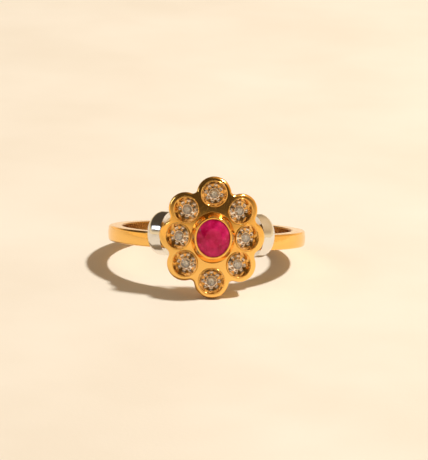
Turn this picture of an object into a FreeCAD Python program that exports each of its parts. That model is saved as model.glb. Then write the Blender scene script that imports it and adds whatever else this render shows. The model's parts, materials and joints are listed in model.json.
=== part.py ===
"""Ruby and diamond cluster ring, lying on a table, as a parametric FreeCAD document.

Millimetres. The pieces are drawn in the ring's own bench frame: the finger hole runs along Y,
the middle of the cluster is straight up the Z axis, and the band crosses X on both sides.
The last step lays the finished ring down, face towards -Y, so that it rests on the lowest
petal of the cluster and on the back of the band.
"""

import FreeCAD, Part
import math
import os
import Sketcher
from FreeCAD import Placement, Rotation, Vector

# Driving dimensions, in millimetres and degrees.
DIMENSIONS = [
    ("finger_bore_radius", 8.65),
    ("band_thickness", 1.45),
    ("band_width", 1.56),
    ("band_offset", 0.62),            # the band crosses this far below the cluster's middle
    ("band_crown", 0.10),             # rise of the band's outer face over its sides
    ("band_outer_round", 0.24),
    ("band_inner_round", 0.14),
    ("face_rise", 1.40),              # outside of the band to the middle of the cluster's face
    ("face_curve_radius", 8.8),       # the face bends over the finger
    ("frame_thickness", 1.3),
    ("frame_draft", 8.0),             # lean of the cluster's outer wall
    ("frame_edge_round", 0.28),
    ("valley_round", 0.32),           # inside round between two petals
    ("side_cup_tuck", 0.02),          # side cups reach in under the bezel's widest line
    ("end_cup_gap", 0.51),            # bezel to the cups at either end
    ("corner_cup_share", 0.635),      # how far a corner cup stands out along the bezel's width
    ("corner_cup_gap", 0.03),         # side cup to corner cup, along the finger
    ("petal_wall", 0.47),             # metal round a cup, level with the middle of the face
    ("side_petal_shift", 0.25),       # petals lie a little off their cups' centres
    ("corner_petal_shift_x", 0.12),
    ("corner_petal_shift_y", 0.05),
    ("end_petal_shift", 0.04),
    ("collet_outer_radius", 1.33),
    ("collet_lip_wall", 0.09),
    ("collet_waist_wall", 0.34),
    ("collet_ledge_width", 0.26),
    ("collet_lip_rise", 0.05),        # lip over the face at the cup's centre
    ("collet_foot_inset", 0.19),      # foot of the collet over the underside of the frame
    ("collet_ledge_height", 0.16),
    ("bezel_half_width", 2.19),       # where the bezel stands in the frame
    ("bezel_half_length", 2.54),
    ("bezel_base_depth", 0.05),       # its widest line under the middle of the face
    ("bezel_lip_half_width", 1.86),
    ("bezel_lip_half_length", 2.08),
    ("bezel_lip_wall", 0.17),
    ("bezel_lip_thickness", 0.08),
    ("bezel_lip_round", 0.07),
    ("bezel_rise", 0.85),             # lip over the middle of the face
    ("bezel_depth", 1.25),            # foot under the middle of the face
    ("bezel_foot_share", 0.77),       # foot over the size at the face
    ("bezel_bearing_step", 0.40),
    ("ruby_overlap", 0.08),           # how far the lip closes over the stone
    ("ruby_crown_height", 0.55),
    ("ruby_table_share", 0.50),       # table over the stone's width
    ("ruby_star_share", 0.80),        # where the star facets end on the crown
    ("ruby_break_share", 0.36),       # where the lower facets end on the pavilion
    ("ruby_girdle", 0.07),
    ("ruby_pavilion_depth", 1.45),
    ("star_edge_depth", 0.60),        # edge of the star mount under the face
    ("star_crown_depth", 0.40),       # its middle, at the stone
    ("star_dish_pitch", 0.79),        # shares of the star's radius: out to a dish's centre
    ("star_dish_half_length", 0.28),
    ("star_dish_half_width", 0.215),
    ("star_claw_share", 0.055),
    ("diamond_share", 0.48),
    ("star_dish_depth", 0.24),
    ("star_shoulder", 0.07),          # flat of metal round the stone
    ("diamond_table_share", 0.58),
    ("diamond_crown_height", 0.15),
    ("diamond_girdle", 0.04),
    ("diamond_pavilion_depth", 0.42),
    ("gallery_half_width", 3.30),
    ("gallery_half_length", 4.10),
    ("gallery_foot_share", 0.86),     # foot over top, of the gallery's leaning wall
    ("gallery_wall", 0.55),
    ("gallery_window_radius", 0.42),
    ("finger_relief", 0.25),          # gallery and collars stand back from the finger
    ("collar_rim_radius", 1.24),      # collar's centre to the middle of its rounded rim
    ("collar_rim_round", 1.00),
    ("collar_stand_off", 0.35),       # where the rounding starts, out from the side petal
    ("collar_tuck", 0.90),            # how far the collar runs in from there
    ("collar_sink", 0.17),            # collar's centre under the inside of the band
    ("fit_gap", 0.02),                # soldered and set pieces stand this far apart
]
PETALS = 8
CLAWS = 8
WINDOWS = 8
MARGIN = 1.0                          # how far a cutting tool runs past what it cuts

# Where each cup lies: name, side of the finger axis, way along the finger, turn of its mount.
CUPS = [
    ("top", 0, 1, 12.0),
    ("upper_right", 1, 1, 20.0),
    ("right", 1, 0, 4.0),
    ("lower_right", 1, -1, 15.0),
    ("bottom", 0, -1, 22.5),
    ("lower_left", -1, -1, 9.0),
    ("left", -1, 0, 2.0),
    ("upper_left", -1, 1, 17.0),
]

doc = FreeCAD.newDocument("cluster_ring")


def make_sheet():
    """The spreadsheet that holds every driving dimension under its alias."""
    sheet = doc.addObject("Spreadsheet::Sheet", "dims")
    for row, (alias, value) in enumerate(DIMENSIONS, start=1):
        sheet.set(f"A{row}", alias)
        sheet.set(f"B{row}", str(value))
        sheet.setAlias(f"B{row}", alias)
    doc.recompute()
    return sheet


dims = make_sheet()


class Dim:
    """A size that keeps its sheet expression beside its present value."""

    def __init__(self, value, text):
        self.value = value
        self.text = text

    def joined(self, other, sign, value):
        return Dim(value, f"({self.text} {sign} {as_dim(other).text})")

    def __add__(self, other):
        return self.joined(other, "+", self.value + as_dim(other).value)

    def __sub__(self, other):
        return self.joined(other, "-", self.value - as_dim(other).value)

    def __mul__(self, other):
        return self.joined(other, "*", self.value * as_dim(other).value)

    def __truediv__(self, other):
        return self.joined(other, "/", self.value / as_dim(other).value)

    def __neg__(self):
        return Dim(-self.value, f"(0 - {self.text})")


def as_dim(size):
    return size if isinstance(size, Dim) else Dim(float(size), str(size))


def dim(alias):
    return Dim(float(dims.get(alias)), f"dims.{alias}")


def bind(obj, **sizes):
    """Binds properties of obj to expressions in the sheet's cells."""
    for prop, size in sizes.items():
        obj.setExpression(prop, as_dim(size).text)
    return obj


def place(obj, placement):
    """Sets where obj lies and hands it back."""
    obj.Placement = placement
    return obj


def primitive(kind, name, placement, **sizes):
    """A Part primitive with its sizes bound to the sheet."""
    return place(bind(doc.addObject(f"Part::{kind}", name), **sizes), placement)


def cut(name, base, tool):
    obj = doc.addObject("Part::Cut", name)
    obj.Base = base
    obj.Tool = tool
    return obj


def common(name, base, tool):
    obj = doc.addObject("Part::Common", name)
    obj.Base = base
    obj.Tool = tool
    return obj


def fuse(name, shapes):
    obj = doc.addObject("Part::MultiFuse", name)
    obj.Shapes = shapes
    return obj


def fillet(name, base, radius, picks):
    """Rounds the edges of base that picks(edge) is true for."""
    doc.recompute()
    obj = doc.addObject("Part::Fillet", name)
    obj.Base = base
    edges = [i for i, edge in enumerate(base.Shape.Edges, start=1) if picks(edge)]
    if not edges:
        raise RuntimeError(f"{name} found no edge to round")
    obj.Edges = [(i, radius.value, radius.value) for i in edges]
    return obj


def new_sketch(body, role, name):
    """A sketch on one of the body's own origin planes."""
    sketch = body.newObject("Sketcher::SketchObject", name)
    plane = next(f for f in body.Origin.OriginFeatures if f.Role == role)
    sketch.AttachmentSupport = [(plane, "")]
    sketch.MapMode = "FlatFace"
    return sketch


def hold(sketch, kind, refs, size):
    """Adds a dimension to the sketch and binds it to the sheet."""
    index = sketch.addConstraint(Sketcher.Constraint(kind, *refs, size.value))
    sketch.setExpression(f"Constraints[{index}]", size.text)


def hold_point(sketch, geometry, point, across, up):
    """Holds a point of the sketch at two signed distances from its origin."""
    for kind, size, axis in (("DistanceX", across, -2), ("DistanceY", up, -1)):
        if size is None:
            sketch.addConstraint(Sketcher.Constraint("PointOnObject", geometry, point, axis))
        else:
            hold(sketch, kind, (-1, 1, geometry, point), size)


def revolved(name, corners):
    """A body turned round Z from the outline through corners, each (radius, height)."""
    body = doc.addObject("PartDesign::Body", name)
    sketch = new_sketch(body, "XZ_Plane", f"{name}_profile")
    count = len(corners)
    points = [Vector(as_dim(r).value, as_dim(up).value, 0) for r, up in corners]
    for i in range(count):
        sketch.addGeometry(Part.LineSegment(points[i], points[(i + 1) % count]), False)
    for i in range(count):
        sketch.addConstraint(Sketcher.Constraint("Coincident", i, 2, (i + 1) % count, 1))
    for i, (r, up) in enumerate(corners):
        hold_point(sketch, i, 1, as_dim(r), as_dim(up))
    turn = body.newObject("PartDesign::Revolution", f"{name}_turned")
    turn.Profile = sketch
    turn.ReferenceAxis = (sketch, ["V_Axis"])
    turn.Angle = 360.0
    return body


def along_finger(name, radius, half_length, z=0.0):
    """A cylinder along the finger axis, centred on y = 0, at height z."""
    lying = Placement(Vector(0, -half_length, z), Rotation(Vector(1, 0, 0), -90))
    return primitive("Cylinder", name, lying, Radius=radius, Height=2 * half_length)


def oval_tower(name, sections):
    """A solid through ovals, each (half width, half length, height), longer along the finger."""
    ovals = []
    for i, (half_width, half_length, z) in enumerate(sections):
        lying = Placement(Vector(0, 0, z), Rotation(Vector(0, 0, 1), 90))
        sizes = {"MajorRadius": half_length, "MinorRadius": half_width}
        ovals.append(primitive("Ellipse", f"{name}_oval_{i}", lying, **sizes))
    tower = doc.addObject("Part::Loft", name)
    tower.Sections = ovals
    tower.Solid = True
    tower.Ruled = True
    return tower


def face_height():
    """Finger axis to the middle of the cluster's face."""
    return dim("finger_bore_radius") + dim("band_thickness") + dim("face_rise")


def on_face(x, inset=0.0):
    """Height of the cluster's bent face at x, or inset under it."""
    bend = dim("face_curve_radius").value
    return face_height().value - bend + math.sqrt((bend - inset) ** 2 - x**2)


def bent_block(name, inset):
    """The cylinder along the finger whose top is the cluster's face, or lies inset under it."""
    reach = 2 * end_cup_y().value + MARGIN
    bend = dim("face_curve_radius")
    return along_finger(name, bend - inset, reach, (face_height() - bend).value)


# ---------------------------------------------------------------- cluster frame


def cup_radius():
    return dim("collet_outer_radius")


def side_cup_x():
    return dim("bezel_half_width") - dim("side_cup_tuck") + cup_radius()


def end_cup_y():
    return dim("bezel_half_length") + dim("end_cup_gap") + cup_radius()


def corner_cup():
    across = cup_radius() + dim("bezel_half_width") * dim("corner_cup_share")
    return across, cup_radius() * 2 + dim("corner_cup_gap")


def petal_radius():
    """Radius of a petal as drawn level with the middle of the face."""
    return cup_radius() + dim("petal_wall")


def petal_centres():
    """Centres of the petals' arcs, anticlockwise from +X; None lies on an axis."""
    side, end = side_cup_x() + dim("side_petal_shift"), end_cup_y() - dim("end_petal_shift")
    x, y = corner_cup()
    x, y = x + dim("corner_petal_shift_x"), y + dim("corner_petal_shift_y")
    right, left = [(side, None), (x, y)], [(-x, y), (-side, None), (-x, -y)]
    return right + [(None, end)] + left + [(None, -end), (x, -y)]


def side_edge_x():
    """How far out a side petal reaches, level with the middle of the face."""
    return side_cup_x() + dim("side_petal_shift") + petal_radius()


def point_of(across, up):
    return Vector(across.value if across else 0.0, up.value if up else 0.0, 0)


def valley_centre(a, b, petal, valley):
    """Centre of the arc that rounds the valley between petals centred on a and b."""
    half = (b - a) * 0.5
    outward = Vector(half.y, -half.x, 0).normalize()
    return a + half + outward * math.sqrt((petal + valley) ** 2 - half.Length**2)


def arc_between(centre, radius, start, end):
    angles = [math.atan2(p.y - centre.y, p.x - centre.x) for p in (start, end)]
    return Part.ArcOfCircle(Part.Circle(centre, Vector(0, 0, 1), radius), *angles)


def petal_outline(body, growth):
    """The scalloped outline: an arc for each petal, with a tangent arc in each valley."""
    sketch = new_sketch(body, "XY_Plane", f"{body.Name}_outline")
    petal, valley = petal_radius() + growth, dim("valley_round") - growth
    centres = [point_of(x, y) for x, y in petal_centres()]
    nexts = centres[1:] + centres[:1]
    hollows = [valley_centre(a, b, petal.value, valley.value) for a, b in zip(centres, nexts)]
    for i in range(PETALS):
        arc = arc_between(centres[i], petal.value, hollows[i - 1], hollows[i])
        sketch.addGeometry(arc, False)
    for i in range(PETALS):
        arc = arc_between(hollows[i], valley.value, nexts[i], centres[i])
        sketch.addGeometry(arc, False)
    for i in range(PETALS):
        hollow = PETALS + i
        sketch.addConstraint(Sketcher.Constraint("Tangent", i, 2, hollow, 2))
        sketch.addConstraint(Sketcher.Constraint("Tangent", hollow, 1, (i + 1) % PETALS, 1))
    for i, (x, y) in enumerate(petal_centres()):
        hold(sketch, "Radius", (i,), petal)
        hold(sketch, "Radius", (PETALS + i,), valley)
        hold_point(sketch, i, 3, x, y)
    return sketch


def cluster_blank(name, growth):
    """The scalloped block that the frame is made from, leaning in towards the finger."""
    body = doc.addObject("PartDesign::Body", name)
    pad = body.newObject("PartDesign::Pad", f"{name}_pad")
    pad.Profile = petal_outline(body, growth)
    drop = face_height().value - on_face(side_edge_x().value)
    pad.Length = drop + dim("frame_thickness").value + 2 * MARGIN
    pad.Reversed = True
    bind(pad, TaperAngle=-dim("frame_draft"))
    return place(body, Placement(Vector(0, 0, face_height().value), Rotation()))


def cup_placement(side, along, turn=0.0):
    """A cup's own frame: origin on the face, Z out along the face's normal."""
    across, up = corner_cup() if side and along else (side_cup_x(), end_cup_y())
    x, y = side * across.value, along * up.value
    lean = math.degrees(math.asin(x / dim("face_curve_radius").value))
    tilt = Rotation(Vector(0, 1, 0), lean) * Rotation(Vector(0, 0, 1), turn)
    return Placement(Vector(x, y, on_face(x)), tilt)


def raised(placement, height):
    """The same frame moved along its own axis."""
    return placement * Placement(Vector(0, 0, height), Rotation())


def cluster_frame(band_slot):
    """Yellow gold frame: eight petals round an oval opening, bent over the finger."""
    blank = cluster_blank("cluster_blank", 0)
    faced = common("faced_blank", blank, bent_block("face_cylinder", 0))
    bent = cut("bent_blank", faced, bent_block("underside_cylinder", dim("frame_thickness")))

    def on_top_rim(edge):
        return all(abs(p.z - on_face(p.x)) < 1e-4 for p in edge.discretize(5))

    rounded = fillet("rounded_blank", bent, dim("frame_edge_round"), on_top_rim)
    gap = dim("fit_gap")
    holes = []
    for name, side, along, _ in CUPS:
        foot = raised(cup_placement(side, along), -dim("frame_thickness").value - MARGIN)
        sizes = {"Radius": cup_radius() + gap}
        sizes["Height"] = dim("frame_thickness") + 2 * MARGIN
        holes.append(primitive("Cylinder", f"{name}_cup_hole", foot, **sizes))
    top = face_height().value
    foot, widest = top - dim("bezel_depth").value, top - dim("bezel_base_depth").value
    half = (dim("bezel_half_width") + gap, dim("bezel_half_length") + gap)
    narrow = tuple(h * dim("bezel_foot_share") + gap for h in half)
    oval = [(*narrow, foot - MARGIN), (*narrow, foot), (*half, widest), (*half, top + MARGIN)]
    holes.append(oval_tower("bezel_hole", oval))
    return cut("cluster_frame", rounded, fuse("frame_holes", holes + [band_slot]))


# ---------------------------------------------------------------- small stones and their settings


def collet_foot():
    """Depth of a collet's foot, from the face."""
    return dim("collet_foot_inset") - dim("frame_thickness")


def collet(name, side, along):
    """The thin gold tube that lines one cup, with a ledge under the star mount."""
    outer, lip, foot = cup_radius(), dim("collet_lip_rise"), collet_foot()
    mouth, waist = outer - dim("collet_lip_wall"), outer - dim("collet_waist_wall")
    ledge, rest = waist - dim("collet_ledge_width"), foot + dim("collet_ledge_height")
    bevel = (outer - mouth) / 3
    corners = [(ledge, foot), (outer, foot), (outer, lip - bevel), (outer - bevel, lip)]
    corners += [(mouth + bevel / 2, lip), (mouth, lip - bevel / 2)]
    corners += [(waist, -dim("star_edge_depth")), (waist, rest), (ledge, rest)]
    return place(revolved(f"collet_{name}", corners), cup_placement(side, along))


def star_radius():
    return cup_radius() - dim("collet_waist_wall") - dim("fit_gap")


def diamond_radius():
    return star_radius() * dim("diamond_share")


def stone_pocket(name, at):
    """The space for a small diamond, open above its table and below its point."""
    gap = dim("fit_gap")
    radius = diamond_radius() + gap
    table = diamond_radius() * dim("diamond_table_share") + gap
    high, low = dim("diamond_crown_height"), -dim("diamond_girdle")
    point = low - dim("diamond_pavilion_depth")
    open_radius = diamond_radius() / 2
    half_way = (low + point) / 2
    corners = [(0, high + gap), (0, point - MARGIN), (open_radius, point - MARGIN)]
    corners += [(open_radius, half_way - gap), (radius, low - gap), (radius, gap)]
    corners += [(table, high + gap)]
    return place(revolved(name, corners), at)


def illusion_mount(name, side, along, turn):
    """White metal plate cut as a star, which makes its small stone look larger."""
    at = cup_placement(side, along, turn)
    girdle = raised(at, -dim("star_crown_depth").value)
    edge, crown = dim("star_edge_depth"), dim("star_crown_depth")
    radius = star_radius()
    shoulder = diamond_radius() + dim("star_shoulder")
    foot = collet_foot() + dim("collet_ledge_height") + dim("fit_gap")
    corners = [(0, foot), (radius, foot), (radius, -edge), (shoulder, -crown), (0, -crown)]
    pieces = [place(revolved(f"{name}_star_blank", corners), at)]
    dishes = []
    for i in range(CLAWS):
        angle = 360.0 * i / CLAWS
        spoke = Rotation(Vector(0, 0, 1), angle + 180.0 / CLAWS)
        out = spoke.multVec(Vector((radius * dim("star_dish_pitch")).value, 0, 0))
        sunk = raised(at, -(edge.value + crown.value) / 2) * Placement(out, spoke)
        sizes = {"Radius1": dim("star_dish_depth")}
        sizes["Radius2"] = radius * dim("star_dish_half_length")
        sizes["Radius3"] = radius * dim("star_dish_half_width")
        dishes.append(primitive("Ellipsoid", f"{name}_dish_{i}", sunk, **sizes))
        reach = Rotation(Vector(0, 0, 1), angle).multVec(Vector(diamond_radius().value, 0, 0))
        claw = girdle * Placement(reach, Rotation())
        round_top = radius * dim("star_claw_share")
        pieces.append(primitive("Sphere", f"{name}_claw_{i}", claw, Radius=round_top))
    away = fuse(f"{name}_star_cuts", dishes + [stone_pocket(f"{name}_pocket", girdle)])
    return cut(f"illusion_mount_{name}", fuse(f"{name}_star_metal", pieces), away)


def ring_points(count, shift, share, z, half):
    """Points evenly round an oval of the half sizes given, turned by shift of a step."""
    angles = [2 * math.pi * (i + shift) / count for i in range(count)]
    return [Vector(half[0] * share * math.cos(a), half[1] * share * math.sin(a), z) for a in angles]


def facet(points):
    return Part.Face(Part.makePolygon(points + points[:1]))


def stone_solid(facets):
    return Part.Solid(Part.makeShell(facets))


def diamond(name, side, along, turn):
    """Eight-cut diamond: table, eight crown facets, thin girdle, eight pavilion facets."""
    half = (diamond_radius().value,) * 2
    count = 8
    high, low = dim("diamond_crown_height").value, -dim("diamond_girdle").value
    table = ring_points(count, 0, dim("diamond_table_share").value, high, half)
    upper, lower = (ring_points(count, 0, 1, z, half) for z in (0.0, low))
    point = Vector(0, 0, low - dim("diamond_pavilion_depth").value)
    facets = [facet(table)]
    for i in range(count):
        j = (i + 1) % count
        facets.append(facet([table[i], table[j], upper[j], upper[i]]))
        facets.append(facet([upper[i], upper[j], lower[j], lower[i]]))
        facets.append(facet([lower[i], lower[j], point]))
    obj = doc.addObject("Part::Feature", f"diamond_{name}")
    obj.Shape = stone_solid(facets)
    girdle = raised(cup_placement(side, along, turn), -dim("star_crown_depth").value)
    return place(obj, girdle * Placement(Vector(), Rotation(Vector(0, 0, 1), 180.0 / count)))


# ---------------------------------------------------------------- ruby and its bezel


def ruby_half():
    """Half width and half length of the ruby at its girdle."""
    inward = dim("bezel_lip_wall") - dim("ruby_overlap")
    return dim("bezel_lip_half_width") - inward, dim("bezel_lip_half_length") - inward


def ruby_girdle_z():
    """Height of the girdle's upper edge: under the lip by its thickness and the crown's rise."""
    run = ruby_half()[0].value * (1 - dim("ruby_table_share").value)
    rise = dim("ruby_overlap").value * dim("ruby_crown_height").value / run
    lip = face_height() + dim("bezel_rise") - dim("bezel_lip_thickness")
    return lip.value - rise - dim("fit_gap").value, rise


def centre_ruby():
    """Oval mixed-cut ruby: brilliant crown and pavilion drawn out to an oval."""
    half = tuple(h.value for h in ruby_half())
    mains, share = 8, dim("ruby_table_share").value
    high, deep = dim("ruby_crown_height").value, dim("ruby_pavilion_depth").value
    low = -dim("ruby_girdle").value
    lean = math.cos(math.pi / mains)
    star_share, lower_share = dim("ruby_star_share").value, dim("ruby_break_share").value
    table = ring_points(mains, 0, share, high, half)
    rise = high * (1 - star_share * lean) / (1 - share)
    stars = ring_points(mains, 0.5, star_share, rise, half)
    upper, lower = (ring_points(2 * mains, 0, 1, z, half) for z in (0.0, low))
    drop = low - deep * (1 - lower_share * lean)
    breaks = ring_points(mains, 0.5, lower_share, drop, half)
    point = Vector(0, 0, low - deep)
    facets = [facet(table)]
    for i in range(mains):
        j, k = (i + 1) % mains, 2 * i
        nxt = (k + 2) % (2 * mains)
        facets.append(facet([table[i], table[j], stars[i]]))
        facets.append(facet([table[i], stars[i], upper[k], stars[i - 1]]))
        facets.append(facet([stars[i], upper[k + 1], upper[k]]))
        facets.append(facet([stars[i], upper[nxt], upper[k + 1]]))
        facets.append(facet([breaks[i], lower[k], lower[k + 1]]))
        facets.append(facet([breaks[i], lower[k + 1], lower[nxt]]))
        facets.append(facet([point, breaks[i - 1], lower[k], breaks[i]]))
    for i in range(2 * mains):
        j = (i + 1) % (2 * mains)
        facets.append(facet([upper[i], upper[j], lower[j], lower[i]]))
    obj = doc.addObject("Part::Feature", "centre_ruby")
    obj.Shape = stone_solid(facets)
    return place(obj, Placement(Vector(0, 0, ruby_girdle_z()[0]), Rotation()))


def centre_bezel():
    """Oval gold bezel with a leaning wall, a bearing for the ruby and a lip closed over it."""
    top = (face_height() + dim("bezel_rise")).value
    foot = (face_height() - dim("bezel_depth")).value
    widest = (face_height() - dim("bezel_base_depth")).value
    base = (dim("bezel_half_width"), dim("bezel_half_length"))
    narrow = tuple(b * dim("bezel_foot_share") for b in base)
    lip = (dim("bezel_lip_half_width"), dim("bezel_lip_half_length"))
    wall = oval_tower("bezel_wall", [(*narrow, foot), (*base, widest), (*lip, top)])

    def on_lip(edge):
        return edge.BoundBox.ZMin > top - 1e-4

    rounded = fillet("rounded_bezel", wall, dim("bezel_lip_round"), on_lip)
    gap = dim("fit_gap")
    girdle, rise = ruby_girdle_z()
    low = girdle - dim("ruby_girdle").value - gap.value
    step, overlap = dim("bezel_bearing_step"), dim("ruby_overlap")
    width, length = ruby_half()
    fall = dim("ruby_pavilion_depth").value * step.value / width.value
    opening = (width - step, length - step)
    seat = (width + gap, length + gap)
    under_lip = (width - overlap, length - overlap)
    bands = [(*opening, foot - MARGIN), (*opening, low - fall), (*seat, low)]
    bands += [(*seat, girdle + gap.value), (*under_lip, girdle + gap.value + rise)]
    bands += [(*under_lip, top + MARGIN)]
    return cut("centre_bezel", rounded, oval_tower("ruby_pocket", bands))


# ---------------------------------------------------------------- gallery, band and collars


def gallery_block(name, growth):
    """Leaning oval block under the cluster, grown or shrunk all round."""
    top, foot = face_height().value, dim("finger_bore_radius").value - 2 * MARGIN
    wide, long = dim("gallery_half_width") + growth, dim("gallery_half_length") + growth
    share = dim("gallery_foot_share")
    return oval_tower(name, [(wide * share, long * share, foot), (wide, long, top)])


def under_gallery():
    """Pierced gold wall between the cluster's underside and the finger."""
    reach = dim("gallery_half_length").value + MARGIN
    inset = dim("frame_thickness") + dim("fit_gap")
    under = bent_block("gallery_top_cylinder", inset)
    block = common("gallery_blank", gallery_block("gallery_outside", 0), under)
    relief = dim("finger_bore_radius") + dim("finger_relief")
    tools = [gallery_block("gallery_inside", -dim("gallery_wall"))]
    tools.append(along_finger("gallery_finger_hole", relief, reach))
    half = dim("gallery_half_width").value, dim("gallery_half_length").value
    for i in range(WINDOWS):
        angle = 2 * math.pi * (i + 0.5) / WINDOWS
        x, y = half[0] * math.cos(angle), half[1] * math.sin(angle)
        upper = on_face(x, inset.value)
        lower = math.sqrt(relief.value**2 - x**2)
        outward = Vector(math.cos(angle) / half[0], math.sin(angle) / half[1], 0).normalize()
        spin = Rotation(Vector(0, 0, 1), outward)
        start = Vector(x, y, (upper + lower) / 2) - outward * 2 * MARGIN
        sizes = {"Radius": dim("gallery_window_radius"), "Height": 3 * MARGIN}
        tools.append(primitive("Cylinder", f"window_{i}", Placement(start, spin), **sizes))
    return cut("under_gallery", block, fuse("gallery_cuts", tools))


def band_ring(name, growth):
    """The whole band as a ring round the finger, grown all round for a slot."""
    body = doc.addObject("PartDesign::Body", name)
    sketch = new_sketch(body, "YZ_Plane", f"{name}_section")
    half = dim("band_width") / 2 + growth
    inner = dim("finger_bore_radius") - growth
    outer = dim("finger_bore_radius") + dim("band_thickness") + growth
    side = outer - dim("band_crown")
    low, high = -half - dim("band_offset"), half - dim("band_offset")
    corners = [(low, side), (low, inner), (high, inner), (high, side)]
    points = [point_of(across, up) for across, up in corners]
    for i in range(3):
        sketch.addGeometry(Part.LineSegment(points[i], points[i + 1]), False)
    crest = Vector(-dim("band_offset").value, outer.value, 0)
    sketch.addGeometry(Part.Arc(points[3], crest, points[0]), False)
    for i in range(2):
        sketch.addConstraint(Sketcher.Constraint("Coincident", i, 2, i + 1, 1))
    for i, (across, up) in enumerate(corners[:3]):
        hold_point(sketch, i, 1, across, up)
    hold_point(sketch, 2, 2, *corners[3])
    sketch.addConstraint(Sketcher.Constraint("Coincident", 2, 2, 3, 1))
    sketch.addConstraint(Sketcher.Constraint("Coincident", 3, 2, 0, 1))
    sketch.addConstraint(Sketcher.Constraint("Radius", 3, sketch.Geometry[3].Radius))
    turn = body.newObject("PartDesign::Revolution", f"{name}_turned")
    turn.Profile = sketch
    turn.ReferenceAxis = (sketch, ["H_Axis"])
    turn.Angle = 360.0
    doc.recompute()
    rounds = [("outer", side, "band_outer_round"), ("inner", inner, "band_inner_round")]
    for place_name, radius, alias in rounds:
        picks = []
        for i, edge in enumerate(body.Shape.Edges, start=1):
            curve = edge.Curve
            if isinstance(curve, Part.Circle) and abs(curve.Radius - radius.value) < 1e-4:
                if abs(curve.Axis.y) > 0.9:
                    picks.append(f"Edge{i}")
        base = body.Tip
        soft = body.newObject("PartDesign::Fillet", f"{name}_{place_name}_round")
        soft.Base = (base, picks)
        bind(soft, Radius=dim(alias))
        body.Tip = soft
        doc.recompute()
    return body


def shank():
    """Slim gold band, open at the top where the gallery bridges it."""
    head_space = gallery_block("band_gap_block", dim("fit_gap"))
    return cut("shank", band_ring("band_ring", as_dim(0.0)), head_space)


def collar_angle():
    """Angle from the top of the ring at which a collar's rounding clears the side petal."""
    orbit = (dim("finger_bore_radius") - dim("collar_sink") + dim("collar_rim_radius")).value
    draft = math.radians(dim("frame_draft").value)
    wall = side_edge_x().value * math.cos(draft) - face_height().value * math.sin(draft)
    return math.asin((dim("collar_stand_off").value + wall) / orbit) + draft


def petal_clearance():
    """The space of the petals' walls and a gap round them, which the collars keep out of."""
    gap = dim("fit_gap")
    under = bent_block("clearance_cylinder", dim("frame_thickness") + gap)
    return cut("petal_clearance", cluster_blank("clearance_blank", gap), under)


def collar(name, hand, tools):
    """White metal collar, a half-round crescent that hides the joint of band and cluster."""
    angle = collar_angle()
    centre = (dim("finger_bore_radius") - dim("collar_sink")).value
    seat = Vector(hand * centre * math.sin(angle), 0, centre * math.cos(angle))
    tangent = Vector(hand * math.cos(angle), 0, -math.sin(angle))
    at = Placement(seat, Rotation(Vector(0, 0, 1), tangent))
    rim, thick, tuck = dim("collar_rim_radius"), dim("collar_rim_round"), dim("collar_tuck")
    disc = primitive("Cylinder", f"{name}_disc", at, Radius=rim, Height=thick)
    rounding = primitive("Torus", f"{name}_rim", at, Radius1=rim, Radius2=thick)
    inner = raised(at, -tuck.value)
    drum = primitive("Cylinder", f"{name}_drum", inner, Radius=rim + thick, Height=tuck)
    blank = fuse(f"{name}_blank", [disc, rounding, drum])
    reach = dim("collar_rim_radius").value + 2 * MARGIN
    relief = dim("finger_bore_radius") + dim("finger_relief")
    hole = along_finger(f"{name}_finger_hole", relief, reach)
    return cut(name, blank, fuse(f"{name}_cuts", [hole, *tools]))


# ---------------------------------------------------------------- laying the ring down


def lay_down(frame):
    """Placement that rests the ring on its lowest petal and on the round of its band's back."""
    half, crown = dim("band_width").value / 2, dim("band_crown").value
    band_round = dim("band_outer_round").value
    outer = (dim("finger_bore_radius") + dim("band_thickness")).value
    crown_radius = (half**2 + crown**2) / (2 * crown)
    crest = math.sqrt((crown_radius - band_round) ** 2 - (half - band_round) ** 2)
    band_y = band_round - half - dim("band_offset").value
    band_z = crown_radius - outer - crest

    def tilt_on(point):
        run, drop = point.z - band_z, band_y - point.y
        return math.atan2(drop, run) - math.asin(band_round / math.hypot(run, drop))

    touches = [p for edge in frame.Shape.Edges for p in edge.discretize(80) if p.y < band_y]
    tilt = max(tilt_on(p) for p in touches)
    turn = Rotation(Vector(1, 0, 0), 90.0 - math.degrees(tilt))
    lowest = turn.multVec(Vector(0, band_y, band_z)).z - band_round
    return Placement(Vector(0, 0, -lowest), turn), math.degrees(tilt)


def build():
    band_slot = band_ring("band_slot", dim("fit_gap"))
    pieces = [cluster_frame(band_slot), centre_bezel(), centre_ruby(), under_gallery(), shank()]
    tools = [band_slot, petal_clearance()]
    pieces.append(collar("left_shoulder_collar", -1, tools))
    pieces.append(collar("right_shoulder_collar", 1, tools))
    for name, side, along, turn in CUPS:
        pieces.append(collet(name, side, along))
        pieces.append(illusion_mount(name, side, along, turn))
        pieces.append(diamond(name, side, along, turn))
    doc.recompute()
    return pieces


def check(pieces):
    """Stops the build if any object failed or any piece is not one valid solid."""
    for obj in doc.Objects:
        if "Invalid" in obj.State or "Error" in obj.State:
            raise RuntimeError(f"{obj.Name} did not recompute")
    for piece in pieces:
        shape = piece.Shape
        if shape.isNull() or not shape.isValid() or len(shape.Solids) != 1:
            raise RuntimeError(f"{piece.Label} is not one valid solid")


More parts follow.
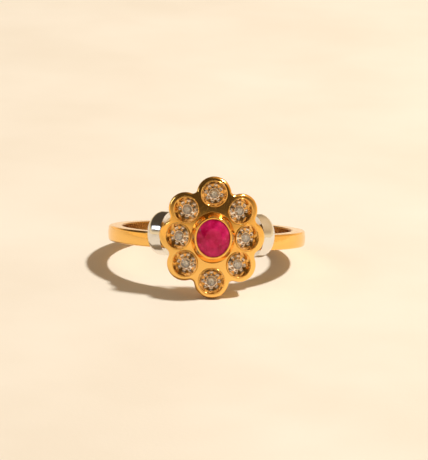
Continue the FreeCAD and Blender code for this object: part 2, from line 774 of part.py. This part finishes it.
pieces = build()
resting, tilt_degrees = lay_down(pieces[0])
for piece in pieces:
    piece.Placement = resting * piece.Placement
doc.recompute()
box = FreeCAD.BoundBox()
for piece in pieces:
    if piece.Label in ("cluster_frame", "centre_ruby", "centre_bezel", "shank"):
        box.add(piece.Shape.optimalBoundingBox(False, False))
centring = Placement(Vector(0, -box.Center.y, 0), Rotation())
for piece in pieces:
    piece.Placement = centring * piece.Placement
doc.recompute()
check(pieces)
os.makedirs("parts", exist_ok=True)
for piece in pieces:
    piece.Shape.exportStep(f"parts/{piece.Label}.step")
finger_axis = centring * resting
bore = finger_axis.multVec(Vector(0, -dim("band_offset").value, 0))
print(f"pieces {len(pieces)}, tilt {tilt_degrees:.4f}, middle of the finger hole {bore}")
print(f"middle of the cluster's face {finger_axis.multVec(Vector(0, 0, face_height().value))}")
print(f"size {box.XLength:.3f} x {box.YLength:.3f} x {box.ZLength:.3f}, lowest {box.ZMin:.4f}")
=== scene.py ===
# %% [markdown]
# A yellow gold cluster ring lies on its side on a cream table, with its stones towards us.
# The solid model of the ring is already made and fixed: this script loads it, gives every
# piece its finish, and sets up the table, the light and the camera. The lesson runs in
# cells, so each step can be tried on its own in a notebook.

# %% Load the ring
import json
import math

import bmesh
import bpy
from mathutils import Matrix, Vector


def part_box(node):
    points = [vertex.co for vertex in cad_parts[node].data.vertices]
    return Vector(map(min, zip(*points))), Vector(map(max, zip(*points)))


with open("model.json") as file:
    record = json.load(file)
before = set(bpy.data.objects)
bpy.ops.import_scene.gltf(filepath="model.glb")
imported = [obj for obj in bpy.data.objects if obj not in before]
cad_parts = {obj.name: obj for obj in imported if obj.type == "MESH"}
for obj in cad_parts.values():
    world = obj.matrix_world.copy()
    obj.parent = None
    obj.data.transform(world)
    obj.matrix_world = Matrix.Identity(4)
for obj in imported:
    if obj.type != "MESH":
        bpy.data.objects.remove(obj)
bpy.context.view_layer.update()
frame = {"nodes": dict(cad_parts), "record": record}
MM = 0.001
nodes = frame["nodes"]
print("pieces in the ring:", len(nodes))

# %% [markdown]
# Nearly all the sizes that the scene needs come from the ring itself. The finger hole is
# stated in its record as a mount, with its middle, its axis and its radius. The stones face
# straight out from the finger, at a right angle to its axis and to the line from left to
# right, and towards the front of the table.

# %% Find the finger hole and the face
hole = next(m for m in frame["record"]["mounts"] if m["name"] == "finger_hole")
hole_middle = Vector(hole["pos_m"])
hole_radius = hole["dims"]["r_mm"] * MM
finger_axis = Vector(hole["axis"]).normalized()
facing = finger_axis.cross(Vector((1, 0, 0))).normalized()
facing = facing if facing.y < 0 else -facing


def middle_of(node):
    """The middle of a piece's box."""
    low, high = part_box(node)
    return (Vector(low) + Vector(high)) / 2


FACE_BEHIND_RUBY = 0.35 * MM          # about where the cluster's face passes the ruby
ruby_middle = middle_of("centre_ruby")
face_middle = ruby_middle - facing * FACE_BEHIND_RUBY
print("stones face", [round(c, 3) for c in facing])

# %% [markdown]
# Shader maths reads best as plain sums. A Wire wraps one output of one node, so that
# `0.2 + 0.1 * scratches` adds the two Math nodes by itself. Colours and directions have
# their own nodes, because a Math node would turn a colour grey. Every other kind of node
# comes from `node`, which sets its choices first and then its sockets.


# %% A small language for shaders
class Wire:
    """One output socket, with sums that add Math nodes."""

    def __init__(self, finish, socket):
        self.finish = finish
        self.socket = socket

    def math(self, operation, first, second):
        return self.finish.node("ShaderNodeMath", {"operation": operation}, {0: first, 1: second})

    def __add__(self, other):
        return self.math("ADD", self, other)

    def __radd__(self, other):
        return self.math("ADD", other, self)

    def __sub__(self, other):
        return self.math("SUBTRACT", self, other)

    def __rsub__(self, other):
        return self.math("SUBTRACT", other, self)

    def __mul__(self, other):
        return self.math("MULTIPLY", self, other)

    def __rmul__(self, other):
        return self.math("MULTIPLY", other, self)

    def __truediv__(self, other):
        return self.math("DIVIDE", self, other)

    def __rtruediv__(self, other):
        return self.math("DIVIDE", other, self)


class Finish:
    """One material and the nodes it is made of."""

    def __init__(self, name):
        self.material = bpy.data.materials.new(name)
        self.material.use_nodes = True
        self.tree = self.material.node_tree
        self.tree.nodes.clear()
        self.output = self.tree.nodes.new("ShaderNodeOutputMaterial")

    def node(self, kind, settings=None, inputs=None, output=0):
        """Adds a node, sets its choices, fills its sockets and gives one output back."""
        made = self.tree.nodes.new(kind)
        for key, value in (settings or {}).items():
            setattr(made, key, value)
        for key, value in (inputs or {}).items():
            socket = made.inputs[key]
            if isinstance(value, Wire):
                self.tree.links.new(value.socket, socket)
            else:
                socket.default_value = value
        return Wire(self, made.outputs[output])

    def level(self, value, low, high):
        """Value turned into 0 at low and 1 at high, held between them."""
        inputs = {"Value": value, "From Min": low, "From Max": high}
        return self.node("ShaderNodeMapRange", {"clamp": True}, inputs)

    def blend(self, share, first, second):
        """A colour between two, by a share from 0 to 1."""
        settings = {"data_type": "RGBA"}
        inputs = {0: share, 6: first, 7: second}
        return self.node("ShaderNodeMix", settings, inputs, output=2)

    def place(self):
        """Where a point of the piece lies, in metres."""
        return self.node("ShaderNodeTexCoord", output="Object")

    def stretched(self, scale):
        return self.node("ShaderNodeMapping", {}, {"Vector": self.place(), "Scale": scale})

    def noise(self, scale, detail=2.0, where=None):
        inputs = {"Vector": where or self.place(), "Scale": scale, "Detail": detail}
        return self.node("ShaderNodeTexNoise", {}, inputs)

    def vectors(self, operation, first, second):
        return self.node("ShaderNodeVectorMath", {"operation": operation}, {0: first, 1: second})

    def crowned(self, normal, radius):
        """A normal that leans as if the face bowed along the finger, to a radius."""
        offset = self.vectors("SUBTRACT", self.place(), face_middle)
        choices, inputs = {"operation": "DOT_PRODUCT"}, {0: offset, 1: finger_axis}
        along = self.node("ShaderNodeVectorMath", choices, inputs, output="Value")
        choices, inputs = {"operation": "SCALE"}, {0: finger_axis, "Scale": along / radius}
        lean = self.node("ShaderNodeVectorMath", choices, inputs)
        return self.vectors("NORMALIZE", self.vectors("ADD", normal, lean), (0.0, 0.0, 0.0))

    def near_finger(self, full, none):
        """1 on the wall of the finger hole, fading to 0 a little way out from it."""
        offset = self.vectors("SUBTRACT", self.place(), hole_middle)
        across = self.vectors("CROSS_PRODUCT", offset, finger_axis)
        choices = {"operation": "LENGTH"}
        away = self.node("ShaderNodeVectorMath", choices, {0: across}, output="Value")
        return 1.0 - self.level(away, hole_radius + full, hole_radius + none)

    def bump(self, height, distance, strength=1.0, under=None):
        inputs = {"Height": height, "Distance": distance, "Strength": strength}
        if under:
            inputs["Normal"] = under
        return self.node("ShaderNodeBump", {}, inputs)

    def surface(self, sockets):
        """Ends the material in one Principled shader."""
        shader = self.node("ShaderNodeBsdfPrincipled", {}, sockets)
        self.finish_with(shader)
        return self.material

    def finish_with(self, shader):
        self.tree.links.new(shader.socket, self.output.inputs["Surface"])


# %% [markdown]
# Polished gold is a mirror with a colour. What makes it look like a worn ring and not like
# plastic is in the mirror's faults: fine scratches, made here from two stretched noises
# that cross, a soft swell left by the polishing mop, and edges that wear has rounded. The
# corners also get painted shade, a darker colour where ambient occlusion finds walls close
# by, and the rounding is added to the normal with a bevel, so that every rim catches a line
# of light.
#
# Two more things are chosen for the look alone. The wall of the finger hole is given
# painted shade, a browner colour, and a duller finish. The cluster's face is straight along
# the finger as a solid, and its normal is leant as if it were faintly domed, which tips its
# upper half towards the dark of the room and its lower half towards the bright table.


# %% Worn, polished metal
SWELL_SCALE = 900.0                   # noise scale: a wave is about a millimetre long
CROSS_SCALE, CROSS_STRETCH = 9000.0, (1.0, 0.12, 0.4)
ALONG_SCALE, ALONG_STRETCH = 12000.0, (0.3, 1.0, 0.1)
SWELL_DEPTH = 0.012 * MM
SCRATCH_DEPTH = 0.0012 * MM
CORNER_REACH = 0.45 * MM              # how far a corner looks for a wall that shades it
# painted shade and a duller finish on the finger hole's wall fade out between these two distances
HOLE_SHADE_FULL, HOLE_SHADE_NONE = 0.02 * MM, 0.22 * MM      # out from the wall of the finger hole


def worn_metal(name, colour, shade_colour, roughness, edge, scratches=1.0, corner_shade=1.0, dome=None):
    """Polished metal: edge is the radius worn onto its rims, dome the radius of its bow."""
    finish = Finish(name)
    # painted shade on the wall of the finger hole, which also makes it duller
    hole_wall_shade_mask = finish.near_finger(HOLE_SHADE_FULL, HOLE_SHADE_NONE)
    swell = finish.noise(SWELL_SCALE)
    cross = finish.noise(CROSS_SCALE, 3.0, finish.stretched(CROSS_STRETCH))
    along = finish.noise(ALONG_SCALE, 3.0, finish.stretched(ALONG_STRETCH))
    lines = finish.level(cross * along, 0.30, 0.38)
    choices, inputs = {"samples": 8}, {"Distance": CORNER_REACH}
    open_air = finish.node("ShaderNodeAmbientOcclusion", choices, inputs, output="AO")
    # painted shade: corners, where ambient occlusion finds walls close by, are darkened in colour
    # and made rougher
    corner_shade_mask = corner_shade * (1.0 - finish.level(open_air, 0.15, 0.75))
    patchy = finish.level(swell, 0.35, 0.7)
    duller = tuple(c * 0.93 for c in colour[:3]) + (1.0,)
    base = finish.blend(patchy * 0.35, colour, duller)
    # painted shade in the corners
    base = finish.blend(corner_shade_mask * 0.55, base, shade_colour)
    # painted shade on the wall of the finger hole
    base = finish.blend(hole_wall_shade_mask * 0.8, base, shade_colour)
    rough = roughness + 0.05 * patchy + 0.10 * scratches * lines + 0.18 * corner_shade_mask + 0.1 * hole_wall_shade_mask
    soft = finish.node("ShaderNodeBevel", {"samples": 6}, {"Radius": edge})
    if dome:
        soft = finish.crowned(soft, dome)
    waved = finish.bump(swell, SWELL_DEPTH, 0.5, soft)
    marked = finish.bump(lines, SCRATCH_DEPTH, 0.6 * scratches, waved)
    sockets = {"Base Color": base, "Metallic": 1.0, "Roughness": rough, "Normal": marked}
    return finish.surface(sockets)


GOLD = (0.98, 0.58, 0.165, 1.0)
# dark gold used as painted shade in corners and in the finger hole
GOLD_PAINTED_SHADE = (0.36, 0.16, 0.04, 1.0)
WHITE_GOLD = (0.80, 0.78, 0.745, 1.0)
STAR_GOLD = (0.93, 0.83, 0.75, 1.0)
# dark white gold used as painted shade in corners and in the finger hole
WHITE_PAINTED_SHADE = (0.22, 0.19, 0.16, 1.0)
FACE_DOME = 22.0 * MM
yellow_gold = worn_metal("yellow_gold_polished", GOLD, GOLD_PAINTED_SHADE, 0.13, 0.05 * MM)
white_gold = worn_metal("white_gold_polished", WHITE_GOLD, WHITE_PAINTED_SHADE, 0.10, 0.04 * MM)
# the last two numbers are how scratched the metal is and how much painted shade its corners get
star_metal = worn_metal("white_gold_bright_cut", STAR_GOLD, WHITE_PAINTED_SHADE, 0.10, 0.015 * MM, 0.0, 0.3)
cup_gold = worn_metal("yellow_gold_cups", GOLD, GOLD_PAINTED_SHADE, 0.13, 0.03 * MM, 0.5, 0.4)
face_gold = worn_metal("yellow_gold_face", GOLD, GOLD_PAINTED_SHADE, 0.11, 0.05 * MM, dome=FACE_DOME)
metals = (yellow_gold, white_gold, star_metal, cup_gold, face_gold)
print("metals:", *(metal.name for metal in metals))

# %% [markdown]
# The ruby is a clear crystal with a deep colour, and it is seldom quite clean: clouds and
# small feathers inside it scatter the light. A Principled shader with transmission bends
# the light, and noise in the stone's colour stands for the clouds. Rather less than half of
# the light goes through, which gives the stone its body. A real ruby bends light by 1.77
# and mirrors more than this one: both are set lower here, to keep its colour strong.


# %% The ruby
RUBY_DEEP = (0.60, 0.003, 0.10, 1.0)
RUBY_BRIGHT = (0.97, 0.03, 0.26, 1.0)
RUBY_FEATHER = (0.95, 0.35, 0.50, 1.0)
RUBY_BENDING = 1.45


def ruby_crystal():
    finish = Finish("ruby")
    clouds = finish.noise(1500.0, 3.0)
    feathers = finish.level(finish.noise(5200.0), 0.62, 0.72)
    colour = finish.blend(finish.level(clouds, 0.35, 0.65), RUBY_DEEP, RUBY_BRIGHT)
    colour = finish.blend(feathers * 0.25, colour, RUBY_FEATHER)
    sockets = {"Base Color": colour, "Roughness": 0.03, "IOR": RUBY_BENDING}
    sockets["Transmission Weight"] = 0.45
    sockets["Specular IOR Level"] = 0.15
    return finish.surface(sockets)


ruby = ruby_crystal()
print("stone:", ruby.name)

# %% [markdown]
# Diamond bends light more than almost any other gem, so much of what enters through the
# top comes back out of it, broken up by the facets under the girdle. A little haze in its
# colour keeps eight stones that are cut alike from looking quite alike.


# %% The diamonds
DIAMOND_CLEAR = (0.97, 0.95, 0.96, 1.0)
DIAMOND_HAZE = (0.86, 0.78, 0.80, 1.0)
DIAMOND_BENDING = 2.42


def diamond_crystal():
    finish = Finish("diamond")
    haze = finish.level(finish.noise(2600.0), 0.4, 0.7)
    colour = finish.blend(haze * 0.2, DIAMOND_CLEAR, DIAMOND_HAZE)
    sockets = {"Base Color": colour, "Roughness": 0.0, "IOR": DIAMOND_BENDING}
    sockets["Transmission Weight"] = 0.75
    return finish.surface(sockets)


diamond = diamond_crystal()
print("stone:", diamond.name)

# %% [markdown]
# Every piece of the solid model already has a material slot of its own, so a finish is put
# on by name. The stones, the star mounts and the collars take theirs. All the rest is
# yellow gold, in three finishes: one for the domed face, one for the cups, which are less
# scratched, and one for everything else.


# %% Dress the pieces
def finish_for(node):
    if node == "centre_ruby":
        return ruby
    if node.startswith("diamond_"):
        return diamond
    if node.startswith("illusion_mount_"):
        return star_metal
    if node.endswith("_collar"):
        return white_gold
    if node == "cluster_frame":
        return face_gold
    if node.startswith("collet_"):
        return cup_gold
    return yellow_gold


for name, piece in nodes.items():
    for slot in piece.material_slots:
        slot.material = finish_for(name)
print("dressed", len(nodes), "pieces")

# %% [markdown]
# The table is a plain cream board with a very faint mottle. It does half of the lighting:
# polished metal shows what is round it, and here that is mostly this board.


# %% The table
BOARD_SHADED = (0.85, 0.80, 0.72, 1.0)
BOARD_PALE = (0.90, 0.865, 0.80, 1.0)
GRAIN_DEPTH = 0.03 * MM
TABLE_REACH = 1.2                     # metres from the middle to each edge


def cream_board():
    finish = Finish("cream_board")
    mottle = finish.level(finish.noise(38.0, 3.0), 0.35, 0.65)
    colour = finish.blend(mottle, BOARD_SHADED, BOARD_PALE)
    grain = finish.bump(finish.noise(2200.0), GRAIN_DEPTH, 0.35)
    return finish.surface({"Base Color": colour, "Roughness": 0.75, "Normal": grain})


def make_table():
    mesh = bpy.data.meshes.new("table")
    grid = bmesh.new()
    bmesh.ops.create_grid(grid, x_segments=8, y_segments=8, size=TABLE_REACH)
    grid.to_mesh(mesh)
    grid.free()
    table = bpy.data.objects.new("table", mesh)
    bpy.context.collection.objects.link(table)
    mesh.materials.append(cream_board())
    return table


table = make_table()
print("table:", 2 * TABLE_REACH, "m across")

# %% [markdown]
# The light is one soft lamp, high on the right and a little behind the ring, which throws
# a short shadow to the left. A weak, cooler window stands low on the left and puts a pale
# streak on the white collar there. The room is what polished gold really shows: near the
# table it is bright and warm, the upper right is a lit wall, and the rest is dark, which
# gives the upper rims their brown depths. The room is sky colour only, so it has no corners.

# %% Lamps
KEY_TOWARDS = Vector((0.59, 0.09, 1.0))
WINDOW_TOWARDS = Vector((-0.88, -0.14, 0.42))
WARM = (1.0, 0.94, 0.84)
COOL = (0.82, 0.90, 1.0)


def lamp(name, towards, distance, size, watts, colour):
    """A round lamp that shines at the ruby, with its size and distance in metres."""
    data = bpy.data.lights.new(name, "AREA")
    data.shape = "DISK"
    data.size = size
    data.energy = watts
    data.color = colour
    made = bpy.data.objects.new(name, data)
    made.location = ruby_middle + towards.normalized() * distance
    made.rotation_euler = towards.to_track_quat("Z", "Y").to_euler()
    bpy.context.collection.objects.link(made)
    return made


key = lamp("key", KEY_TOWARDS, distance=0.60, size=0.055, watts=3.5, colour=WARM)
window = lamp("window", WINDOW_TOWARDS, distance=0.45, size=0.13, watts=0.16, colour=COOL)
print("lamps:", key.name, window.name)

# %% The room
NEAR_FLOOR = (1.05, 0.80, 0.48, 1.0)
DARK_ROOM = (0.085, 0.062, 0.040, 1.0)
LIT_WALL = (0.78, 0.53, 0.28, 1.0)
BRIGHT_SIDE = Vector((0.72, 0.35, 0.60)).normalized()


def dim_room():
    """Sky colours by height and by side, in place of walls."""
    world = bpy.data.worlds.new("room")
    world.use_nodes = True
    room = Finish("room_maths")
    room.tree = world.node_tree
    room.tree.nodes.clear()
    output = room.tree.nodes.new("ShaderNodeOutputWorld")
    way = room.node("ShaderNodeTexCoord", output="Generated")
    height = room.node("ShaderNodeSeparateXYZ", {}, {"Vector": way}, output="Z")
    choices, inputs = {"operation": "DOT_PRODUCT"}, {0: way, 1: BRIGHT_SIDE}
    side = room.node("ShaderNodeVectorMath", choices, inputs, output="Value")
    above = room.blend(room.level(side, 0.50, 0.92), DARK_ROOM, LIT_WALL)
    colour = room.blend(room.level(height, 0.14, 0.34), NEAR_FLOOR, above)
    light = room.node("ShaderNodeBackground", {}, {"Color": colour, "Strength": 1.0})
    room.tree.links.new(light.socket, output.inputs["Surface"])
    bpy.data.materials.remove(room.material)
    bpy.context.scene.world = world
    return world


room = dim_room()
print("room:", room.name)

# %% [markdown]
# A long lens from well back keeps the ring's proportions true. The camera looks down at
# about seventeen degrees, a few degrees from the left, and is turned a little so that the
# ring leans clockwise. Its focal length follows from how large the ring's face is drawn.

# %% The camera
FRAME_WIDTH = 428
FRAME_HEIGHT = 460
AZIMUTH = math.radians(-3.4)
ELEVATION = math.radians(17.0)
ROLL = math.radians(2.6)
DISTANCE = 0.40
SENSOR_WIDTH = 36.0
SCALE = 10.04 / MM                    # parts of FRAME_WIDTH to each metre at the face
FACE_FROM_LEFT = 0.4976               # shares of the picture's width and height
FACE_FROM_TOP = 0.5150


def make_camera():
    data = bpy.data.cameras.new("camera")
    data.sensor_fit = "HORIZONTAL"
    data.sensor_width = SENSOR_WIDTH
    data.lens = SCALE * DISTANCE * SENSOR_WIDTH / FRAME_WIDTH
    camera = bpy.data.objects.new("camera", data)
    flat = math.cos(ELEVATION)
    back = Vector((math.sin(AZIMUTH) * flat, -math.cos(AZIMUTH) * flat, math.sin(ELEVATION)))
    turn = back.to_track_quat("Z", "Y").to_matrix() @ Matrix.Rotation(ROLL, 3, "Z")
    right, up = turn.col[0], turn.col[1]
    aside = (0.5 - FACE_FROM_LEFT) * FRAME_WIDTH / SCALE
    above = (FACE_FROM_TOP - 0.5) * FRAME_HEIGHT / SCALE
    camera.location = face_middle + right * aside + up * above + back * DISTANCE
    camera.rotation_euler = turn.to_euler()
    bpy.context.collection.objects.link(camera)
    bpy.context.scene.camera = camera
    return camera


camera = make_camera()
scene = bpy.context.scene
scene.view_settings.view_transform = "Standard"
scene.cycles.use_denoising = True
print("lens", round(camera.data.lens, 1), "mm")
